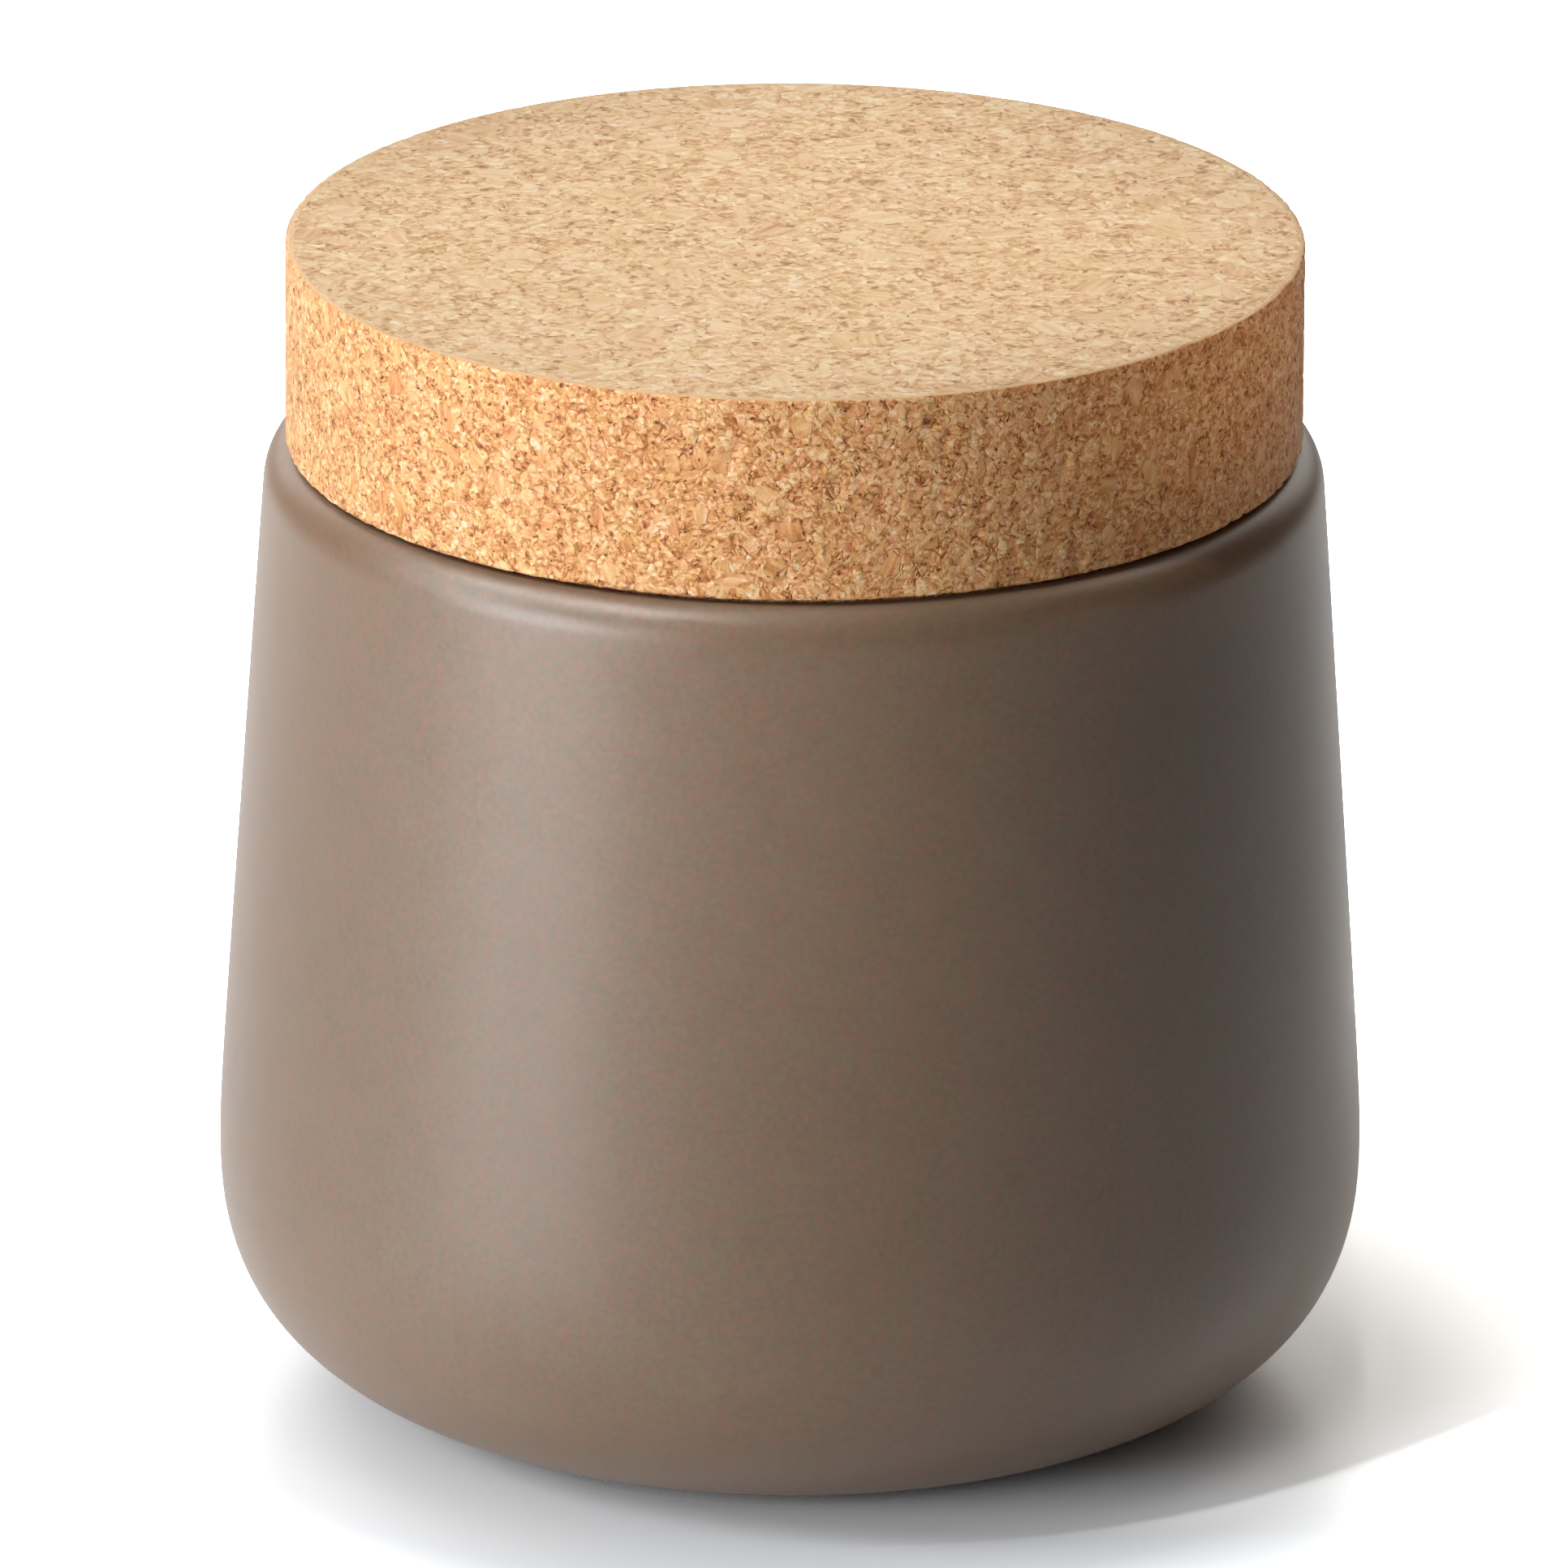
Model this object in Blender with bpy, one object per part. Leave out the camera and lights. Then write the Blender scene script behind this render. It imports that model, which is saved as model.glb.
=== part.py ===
"""Ceramic canister: a turned stoneware jar and the cork lid that sits in its mouth.

Metres, +Z up. The origin is the centre of the foot ring, on the surface the jar stands on.
Both pieces are turned about Z, and the lid lifts straight up along it.
"""

import math

import bmesh
import bpy

# Outside of the jar
JAR_HEIGHT = 0.1121  # crest of the lip above the table
WIDEST_RADIUS = 0.065  # where the body is fullest, low down
WIDEST_HEIGHT = 0.0287  # that place above the table
TOP_RADIUS = 0.0596  # the tapered wall, carried up to the height of the crest
HEEL_START_RADIUS = 0.0285  # the rounded heel begins to rise from the table here
HEEL_SQUARENESS = 2.51  # 2 would be an ellipse, and more is fuller in the corner
WALL_EASE_SHARE = 0.068  # of the wall's height, in which it turns from upright to its taper

# Wall, lip and floor of the jar
WALL_THICKNESS = 0.005
LIP_CREST_SHARE = 0.65  # of the wall's thickness, from the outside to the crest
LIP_DROP = 0.0046  # height of the lip's rounding on the outside
MOUTH_DROP = 0.0025  # height of its rounding on the inside
FLOOR_THICKNESS = 0.006

# Foot ring under the jar
FOOT_RADIUS = 0.0405
FOOT_WIDTH = 0.005
FOOT_RECESS = 0.0015  # depth of the hollow inside the ring
RECESS_SLOPE = 0.0012  # how far that hollow's edge leans in

# Cork lid
LID_THICKNESS = 0.0231  # the disc above the jar
LID_OVERHANG = 0.00105  # the disc's edge past the crest of the lip
LID_EDGE_ROUND = 0.0003  # the disc's edges are cut sharp and only just broken
PLUG_DEPTH = 0.012  # the plug below the disc
PLUG_LEAD = 0.0015  # its lower edge is bevelled to find the mouth

# Fits
SEAT_GAP = 0.0003  # between the disc and the crest it rests on
PLUG_CLEARANCE = 0.0003  # between the plug and the mouth, all round

# Facets
SEGMENTS = 72
HEEL_STEPS = 12
INNER_HEEL_STEPS = 9
WALL_STEPS = 8
LIP_STEPS = 5
EDGE_STEPS = 2
MERGE_DISTANCE = 0.000001
SHARP_ANGLE = math.radians(30)

# Colours as red, green and blue from 0 to 1, linear
GLAZE_COLOUR = (0.235, 0.165, 0.120, 1.0)
CORK_COLOUR = (0.680, 0.450, 0.235, 1.0)
GLAZE_ROUGHNESS = 0.38
CORK_ROUGHNESS = 0.85

LIP_REACH = WALL_THICKNESS * LIP_CREST_SHARE
CREST_RADIUS = TOP_RADIUS - LIP_REACH
MOUTH_RADIUS = TOP_RADIUS - WALL_THICKNESS
FLOOR_HEIGHT = FOOT_RECESS + FLOOR_THICKNESS
LID_RADIUS = CREST_RADIUS + LID_OVERHANG
LID_HEIGHT = JAR_HEIGHT + SEAT_GAP
PLUG_RADIUS = MOUTH_RADIUS - PLUG_CLEARANCE


def clear_scene():
    """Remove every object that the scene starts with."""
    for thing in list(bpy.data.objects):
        bpy.data.objects.remove(thing, do_unlink=True)


def heel_angle(radius, start_radius, end_radius):
    """The angle at which the heel curve between two radii has reached a given radius."""
    share = max(0, (radius - start_radius) / (end_radius - start_radius))
    return math.asin(min(1, share ** (HEEL_SQUARENESS / 2)))


def heel_point(angle, start_radius, end_radius, low, high):
    """A point on the heel: flat at its start radius, upright where it reaches its end radius."""
    reach = math.sin(angle) ** (2 / HEEL_SQUARENESS)
    rise = 1 - math.cos(angle) ** (2 / HEEL_SQUARENESS)
    return (start_radius + (end_radius - start_radius) * reach, low + (high - low) * rise)


def wall_radius(height):
    """Outer radius of the tapered wall at a height between the widest place and the crest."""
    share = (height - WIDEST_HEIGHT) / (JAR_HEIGHT - WIDEST_HEIGHT)
    lean = math.hypot(share, WALL_EASE_SHARE) - WALL_EASE_SHARE
    full_lean = math.hypot(1, WALL_EASE_SHARE) - WALL_EASE_SHARE
    return WIDEST_RADIUS + (TOP_RADIUS - WIDEST_RADIUS) * lean / full_lean


def rounding(height, base, drop):
    """How far a rounded edge has turned in at a height, as a share of its reach."""
    share = min(1, (height - base) / drop)
    return 1 - math.sqrt(1 - share * share)


def wall_heights(top):
    """Heights up the wall, closest together near its foot, where it bends most."""
    steps = range(1, WALL_STEPS + 1)
    return [WIDEST_HEIGHT + (top - WIDEST_HEIGHT) * (step / WALL_STEPS) ** 2 for step in steps]


def edge_heights(base, drop):
    """Heights up a rounded edge, at even angles of its arc."""
    steps = range(1, LIP_STEPS + 1)
    return [base + drop * math.sin(math.pi / 2 * step / LIP_STEPS) for step in steps]


def jar_outside():
    """The outer outline, from the centre of the underside up to the crest of the lip."""
    foot_inside = FOOT_RADIUS - FOOT_WIDTH
    points = [
        (0, FOOT_RECESS),
        (foot_inside - RECESS_SLOPE, FOOT_RECESS),
        (foot_inside, 0),
        (FOOT_RADIUS, 0),
    ]
    first = heel_angle(FOOT_RADIUS, HEEL_START_RADIUS, WIDEST_RADIUS)
    for step in range(HEEL_STEPS + 1):
        angle = first + (math.pi / 2 - first) * step / HEEL_STEPS
        points.append(heel_point(angle, HEEL_START_RADIUS, WIDEST_RADIUS, 0, WIDEST_HEIGHT))
    lip_base = JAR_HEIGHT - LIP_DROP
    points += [(wall_radius(height), height) for height in wall_heights(lip_base)]
    for height in edge_heights(lip_base, LIP_DROP):
        turned = LIP_REACH * rounding(height, lip_base, LIP_DROP)
        points.append((wall_radius(height) - turned, height))
    return points


def jar_inside():
    """The inner outline, from the centre of the floor up to just short of the crest."""
    points = [(0, FLOOR_HEIGHT)]
    inner_widest = WIDEST_RADIUS - WALL_THICKNESS
    for step in range(INNER_HEEL_STEPS + 1):
        angle = math.pi / 2 * step / INNER_HEEL_STEPS
        points.append(heel_point(angle, HEEL_START_RADIUS, inner_widest, FLOOR_HEIGHT, WIDEST_HEIGHT))
    lip_base = JAR_HEIGHT - MOUTH_DROP
    points += [(wall_radius(height) - WALL_THICKNESS, height) for height in wall_heights(lip_base)]
    for height in edge_heights(lip_base, MOUTH_DROP)[:-1]:
        turned = (WALL_THICKNESS - LIP_REACH) * rounding(height, lip_base, MOUTH_DROP)
        points.append((wall_radius(height) - WALL_THICKNESS + turned, height))
    return points


def edge_arc(radius, height, rise):
    """A small rounded edge between a level face and an upright side that meet at a corner."""
    points = []
    for step in range(EDGE_STEPS + 1):
        angle = math.pi / 2 * step / EDGE_STEPS
        inset = LID_EDGE_ROUND * (1 - math.sin(angle))
        points.append((radius - inset, height + rise * (1 - math.cos(angle))))
    return points


def lid_outline():
    """The lid's outline, from the centre of the plug's end to the centre of its top."""
    points = [
        (0, -PLUG_DEPTH),
        (PLUG_RADIUS - PLUG_LEAD, -PLUG_DEPTH),
        (PLUG_RADIUS, PLUG_LEAD - PLUG_DEPTH),
        (PLUG_RADIUS, 0),
    ]
    points += edge_arc(LID_RADIUS, 0, LID_EDGE_ROUND)
    points += reversed(edge_arc(LID_RADIUS, LID_THICKNESS, -LID_EDGE_ROUND))
    points.append((0, LID_THICKNESS))
    return points


def turned(name, outline):
    """One closed body, turned about Z from an outline of radius and height."""
    shape = bmesh.new()
    corners = [shape.verts.new((radius, 0, height)) for radius, height in outline]
    for lower, upper in zip(corners, corners[1:]):
        shape.edges.new((lower, upper))
    bmesh.ops.spin(
        shape,
        geom=shape.verts[:] + shape.edges[:],
        cent=(0, 0, 0),
        axis=(0, 0, 1),
        angle=math.tau,
        steps=SEGMENTS,
    )
    bmesh.ops.remove_doubles(shape, verts=shape.verts[:], dist=MERGE_DISTANCE)
    bmesh.ops.recalc_face_normals(shape, faces=shape.faces[:])
    mesh = bpy.data.meshes.new(name)
    shape.to_mesh(mesh)
    shape.free()
    mesh.shade_smooth()
    mesh.set_sharp_from_angle(angle=SHARP_ANGLE)
    piece = bpy.data.objects.new(name, mesh)
    bpy.context.scene.collection.objects.link(piece)
    return piece


def finish(name, colour, roughness):
    """A plain finish that no metal is in."""
    material = bpy.data.materials.new(name)
    material.use_nodes = True
    shader = material.node_tree.nodes["Principled BSDF"]
    shader.inputs["Base Color"].default_value = colour
    shader.inputs["Roughness"].default_value = roughness
    shader.inputs["Metallic"].default_value = 0
    material.diffuse_color = colour
    return material


def make_jar():
    """The stoneware jar, with its lip, its floor and its foot ring."""
    jar = turned("ceramic_jar", jar_outside() + jar_inside()[::-1])
    jar.data.materials.append(finish("satin_glaze", GLAZE_COLOUR, GLAZE_ROUGHNESS))
    return jar


def make_lid(jar):
    """The cork lid, with its origin on the axis it lifts along, in the plane of the disc's underside."""
    lid = turned("cork_lid", lid_outline())
    lid.data.materials.append(finish("agglomerated_cork", CORK_COLOUR, CORK_ROUGHNESS))
    lid.parent = jar
    lid.location = (0, 0, LID_HEIGHT)
    return lid


def main():
    """Build the canister."""
    clear_scene()
    jar = make_jar()
    make_lid(jar)


main()
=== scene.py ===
"""The looks of a ceramic canister: a satin-glazed stoneware jar under a thick lid of agglomerated cork.

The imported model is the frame. Each piece made here stands for one of its nodes, in the same place and
at the same size, with the fine surface that the solid leaves out. Lengths are in metres.
"""

import logging
import math
from dataclasses import dataclass
from enum import Enum

import bpy
from mathutils import Matrix, Vector


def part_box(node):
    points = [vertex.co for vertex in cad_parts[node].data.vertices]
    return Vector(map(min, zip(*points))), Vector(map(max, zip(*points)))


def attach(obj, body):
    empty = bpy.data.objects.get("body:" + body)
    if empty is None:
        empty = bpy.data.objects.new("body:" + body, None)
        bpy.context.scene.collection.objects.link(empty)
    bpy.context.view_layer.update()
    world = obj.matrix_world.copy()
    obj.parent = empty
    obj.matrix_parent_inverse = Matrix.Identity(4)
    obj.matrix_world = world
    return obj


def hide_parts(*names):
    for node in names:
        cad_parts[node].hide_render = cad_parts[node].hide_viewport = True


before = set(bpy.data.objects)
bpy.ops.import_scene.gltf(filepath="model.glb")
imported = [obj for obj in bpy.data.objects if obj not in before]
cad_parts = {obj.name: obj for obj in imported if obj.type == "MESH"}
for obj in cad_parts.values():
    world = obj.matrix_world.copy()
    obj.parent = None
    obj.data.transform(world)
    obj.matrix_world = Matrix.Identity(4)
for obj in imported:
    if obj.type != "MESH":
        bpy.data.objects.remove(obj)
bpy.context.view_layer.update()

LOG = logging.getLogger("canister")
SEAM_DEPTH = 0.0005  # the lip lies this much lower than in the solid, so that the seam is a dark line
AIM_HEIGHT = 0.07  # about half the canister's height, where the camera and most lamps point
HALF = 0.5  # also the middle of a noise and of a random value
NOISE_DETAIL = 1.0  # one finer octave in each noise, which is all that shows at this distance
UNIT = (0.0, 1.0)  # the range of a share, which the helpers below go from and to unless told otherwise
TOP_SLOPE = 0.8  # a face whose normal rises more steeply than this belongs to the lid's level top

Point = tuple[float, float]
Span = tuple[float, float]
Colour = tuple[float, float, float, float]
NodeInput = float | int | str | tuple | bpy.types.NodeSocket | bpy.types.Node | bpy.types.Material


class Node(Enum):
    """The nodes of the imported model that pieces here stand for."""

    JAR = "ceramic_jar"
    LID = "cork_lid"


class Body(Enum):
    """The bodies that pieces ride on."""

    JAR = "jar"
    LID = "lid"


class Slot(Enum):
    """The record's material slots."""

    GLAZE = "satin_glaze"
    CORK = "agglomerated_cork"


class Ray(Enum):
    """The kinds of light ray that see the stage as the white background."""

    CAMERA = "Is Camera Ray"
    GLOSSY = "Is Glossy Ray"
    TRANSMISSION = "Is Transmission Ray"


def linear(code: str) -> Colour:
    """Turn an sRGB hex value into the linear colour that a shader takes.

    Args:
        code: The colour, such as #8A6E58.

    Returns:
        Red, green, blue and an alpha of 1.
    """
    shares = [int(code[place : place + 2], 16) / 255 for place in (1, 3, 5)]
    channels = [
        share / 12.92 if share <= 0.04045 else ((share + 0.055) / 1.055) ** 2.4 for share in shares
    ]
    return (*channels, 1.0)


def first_output(source: bpy.types.Node | bpy.types.NodeSocket) -> bpy.types.NodeSocket:
    """Give a socket as it is, and for a node the first output that it offers."""
    if isinstance(source, bpy.types.NodeSocket):
        return source
    return next(socket for socket in source.outputs if socket.enabled)


def add_node(
    tree: bpy.types.NodeTree, kind: str, inputs: dict[str | int, NodeInput] | None = None, **settings
) -> bpy.types.Node:
    """Add a node to a tree with its settings, values and links.

    Args:
        tree: The shader or geometry tree.
        kind: The node's type name.
        inputs: By socket name or number, a value, or the socket or node to link from.
        settings: The node's own properties, set before its sockets are looked up.

    Returns:
        The new node.
    """
    node = tree.nodes.new(kind)
    for name, value in settings.items():
        setattr(node, name, value)
    for key, value in (inputs or {}).items():
        sockets = [socket for socket in node.inputs if socket.enabled and socket.name == key]
        socket = node.inputs[key] if isinstance(key, int) else sockets[0]
        if isinstance(value, (bpy.types.Node, bpy.types.NodeSocket)):
            tree.links.new(first_output(value), socket)
        else:
            socket.default_value = value
    return node


def new_material(name: str) -> tuple[bpy.types.Material, bpy.types.NodeTree]:
    """Make a material whose node tree is empty."""
    material = bpy.data.materials.new(name)
    material.use_nodes = True
    material.node_tree.nodes.clear()
    return material, material.node_tree


def calculate(tree: bpy.types.NodeTree, operation: str, *values: NodeInput) -> bpy.types.Node:
    """Work something out from plain numbers, such as MULTIPLY, which takes them in this order."""
    return add_node(tree, "ShaderNodeMath", dict(enumerate(values)), operation=operation)


def combine(tree: bpy.types.NodeTree, operation: str, *vectors: NodeInput) -> bpy.types.Node:
    """Work something out from vectors, such as ADD, which takes them in this order."""
    return add_node(tree, "ShaderNodeVectorMath", dict(enumerate(vectors)), operation=operation)


def scaled(tree: bpy.types.NodeTree, vector: NodeInput, factor: NodeInput) -> bpy.types.Node:
    """Multiply a vector or a colour by a number."""
    return add_node(tree, "ShaderNodeVectorMath", {0: vector, "Scale": factor}, operation="SCALE")


def blend(
    tree: bpy.types.NodeTree, share: NodeInput, first: NodeInput, second: NodeInput, **settings
) -> bpy.types.Node:
    """Mix two values, numbers unless the settings say otherwise.

    Args:
        tree: The shader or geometry tree.
        share: How much of the second there is, from 0 to 1.
        first: What a share of 0 gives.
        second: What a share of 1 gives.
        settings: The node's own properties.

    Returns:
        The mixed value.
    """
    return add_node(tree, "ShaderNodeMix", {"Factor": share, "A": first, "B": second}, **settings)


def remap(
    tree: bpy.types.NodeTree,
    value: NodeInput,
    source: Span = UNIT,
    target: tuple[NodeInput, NodeInput] = UNIT,
) -> bpy.types.Node:
    """Bring a value from one range to another, and hold it within the new one.

    Args:
        tree: The shader or geometry tree.
        value: The value.
        source: The range that it comes from.
        target: What the source's two ends turn into.

    Returns:
        The new value.
    """
    ends = {"From Min": source[0], "From Max": source[1], "To Min": target[0], "To Max": target[1]}
    return add_node(tree, "ShaderNodeMapRange", {"Value": value, **ends})


def noise(
    tree: bpy.types.NodeTree, place: NodeInput, size: float, detail: float = NOISE_DETAIL
) -> bpy.types.Node:
    """Add soft random blotches.

    Args:
        tree: The shader or geometry tree.
        place: Where it is read.
        size: How far apart the blotches lie, in the place's own unit.
        detail: How many finer octaves lie over them.

    Returns:
        The noise, with its value first and then its colour.
    """
    return add_node(tree, "ShaderNodeTexNoise", {"Vector": place, "Scale": 1 / size, "Detail": detail})


def displaced(
    tree: bpy.types.NodeTree, place: NodeInput, colour: NodeInput, reach: float
) -> bpy.types.Node:
    """Move a place by a noise's colour, so that a pattern read there wanders.

    Args:
        tree: The shader or geometry tree.
        place: The place to move.
        colour: The noise's colour, whose middle is a grey of one half.
        reach: How far the place moves for a change of the colour from 0 to 1.

    Returns:
        The moved place.
    """
    centred = combine(tree, "SUBTRACT", colour, (HALF, HALF, HALF))
    offset = scaled(tree, centred, reach)
    return combine(tree, "ADD", place, offset)


@dataclass(frozen=True)
class GranulePattern:
    """Where the granules of pressed cork lie, cut through by any face of the block.

    Some of the coarse cells are whole granules, and the space between them is packed with fine ones.
    The shader and the mesh both use this pattern, so that colour and relief agree.
    """

    coarse_size: float = 0.002  # the largest granules of such cork are 2 to 3 mm
    fine_size: float = 0.0011  # and most of them 1 to 1.7 mm, before their neighbours press into them
    coarse_share: float = 0.12
    ragged_size: float = 0.0008  # torn granules, whose outlines wander this closely
    ragged_reach: float = 0.0005

    def add_to(self, tree: bpy.types.NodeTree, place: NodeInput) -> dict[str, bpy.types.Node]:
        """Add the pattern to a shader or geometry tree.

        Args:
            tree: The tree to add it to.
            place: The position in the lid's own coordinates.

        Returns:
            The granule's own random colour, the distance to its edge in metres, and 1 in a coarse one.
        """
        ragged = noise(tree, place, self.ragged_size)
        moved = displaced(tree, place, ragged.outputs["Color"], self.ragged_reach)
        colours, edges = [], []
        for size in (self.coarse_size, self.fine_size):
            sockets = {"Vector": moved, "Scale": 1 / size}
            cells = add_node(tree, "ShaderNodeTexVoronoi", sockets)
            rims = add_node(tree, "ShaderNodeTexVoronoi", sockets, feature="DISTANCE_TO_EDGE")
            colours.append(cells.outputs["Color"])
            edges.append(calculate(tree, "MULTIPLY", rims, size))
        draw = add_node(tree, "ShaderNodeSeparateXYZ", {"Vector": colours[0]})
        coarse = calculate(tree, "LESS_THAN", draw.outputs[2], self.coarse_share)
        own = blend(tree, coarse, colours[1], colours[0], data_type="RGBA")
        to_fine = calculate(tree, "MINIMUM", edges[0], edges[1])
        edge = blend(tree, coarse, to_fine, edges[0])
        return {"own": own, "edge": edge, "coarse": coarse}


@dataclass(frozen=True)
class SatinGlaze:
    """Satin matt glaze, sprayed on stoneware and fired.

    Its tiny crystals spread a highlight into a broad soft sheen, and the iron and rutile in it break
    the taupe brown into a fine grain of grey, olive and reddish specks.
    """

    name: str = "satin_matt_stoneware_glaze"
    taupe: str = "#7F6650"
    umber: str = "#745A45"
    olive: str = "#76644A"
    russet: str = "#825E49"
    refraction: float = 1.6  # the usual index of a stoneware glaze
    roughness: float = 0.41
    roughness_swing: float = 0.08
    grain_size: float = 0.0007  # crystals are under 0.1 mm and too fine to show: drawn coarser
    grain_range: Span = (0.25, 0.75)  # nearly all of a noise lies between these
    grain_swing: float = 0.16
    grain_depth: float = 0.00001
    fleck_size: float = 0.0012  # specks of iron and rutile melt out to about a millimetre
    fleck_range: Span = (0.45, 0.75)
    mottle_size: float = 0.006  # drifts in the sprayed thickness, as wide as the spray's overlaps
    wave_size: float = 0.004  # the faint orange peel of a sprayed coat
    wave_depth: float = 0.00001

    def make(self) -> bpy.types.Material:
        """Build the material."""
        material, tree = new_material(self.name)
        place = add_node(tree, "ShaderNodeTexCoord").outputs["Object"]
        sizes = (self.mottle_size, self.fleck_size, self.grain_size, self.wave_size)
        mottle, fleck, grain, waves = (noise(tree, place, size) for size in sizes)
        base = blend(
            tree, mottle.outputs[0], linear(self.umber), linear(self.taupe), data_type="RGBA"
        )
        hues = add_node(tree, "ShaderNodeSeparateXYZ", {"Vector": fleck.outputs["Color"]})
        for lot, code in zip(hues.outputs, (self.olive, self.russet)):
            share = remap(tree, lot, self.fleck_range)
            base = blend(tree, share, base, linear(code), data_type="RGBA")
        around = (1 - self.grain_swing / 2, 1 + self.grain_swing / 2)
        lightness = remap(tree, grain, self.grain_range, around)
        speckled = scaled(tree, base, lightness)
        around = (self.roughness - self.roughness_swing / 2, self.roughness + self.roughness_swing / 2)
        polish = remap(tree, grain, UNIT, around)
        grain_height = calculate(tree, "MULTIPLY", grain.outputs[0], self.grain_depth)
        height = calculate(tree, "MULTIPLY_ADD", waves.outputs[0], self.wave_depth, grain_height)
        bump = add_node(tree, "ShaderNodeBump", {"Height": height, "Distance": 1.0})
        shader = add_node(
            tree,
            "ShaderNodeBsdfPrincipled",
            {"Base Color": speckled, "Roughness": polish, "Normal": bump, "IOR": self.refraction},
        )
        add_node(tree, "ShaderNodeOutputMaterial", {"Surface": shader})
        return material


@dataclass(frozen=True)
class BareStoneware:
    """Fired stoneware that the glaze was wiped from, under the foot ring: dry, buff and gritty."""

    name: str = "bare_fired_stoneware"
    buff: str = "#B9A48C"
    grog: str = "#8F7C66"
    grit_size: float = 0.0007  # the sand and ground pot in a stoneware body
    grit_detail: float = 3.0
    grit_depth: float = 0.00003
    roughness: float = 0.9

    def make(self) -> bpy.types.Material:
        """Build the material."""
        material, tree = new_material(self.name)
        place = add_node(tree, "ShaderNodeTexCoord").outputs["Object"]
        grit = noise(tree, place, self.grit_size, self.grit_detail)
        colour = blend(
            tree, grit.outputs[0], linear(self.grog), linear(self.buff), data_type="RGBA"
        )
        height = calculate(tree, "MULTIPLY", grit.outputs[0], self.grit_depth)
        bump = add_node(tree, "ShaderNodeBump", {"Height": height, "Distance": 1.0})
        shader = add_node(
            tree,
            "ShaderNodeBsdfPrincipled",
            {"Base Color": colour, "Roughness": self.roughness, "Normal": bump},
        )
        add_node(tree, "ShaderNodeOutputMaterial", {"Surface": shader})
        return material


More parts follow.
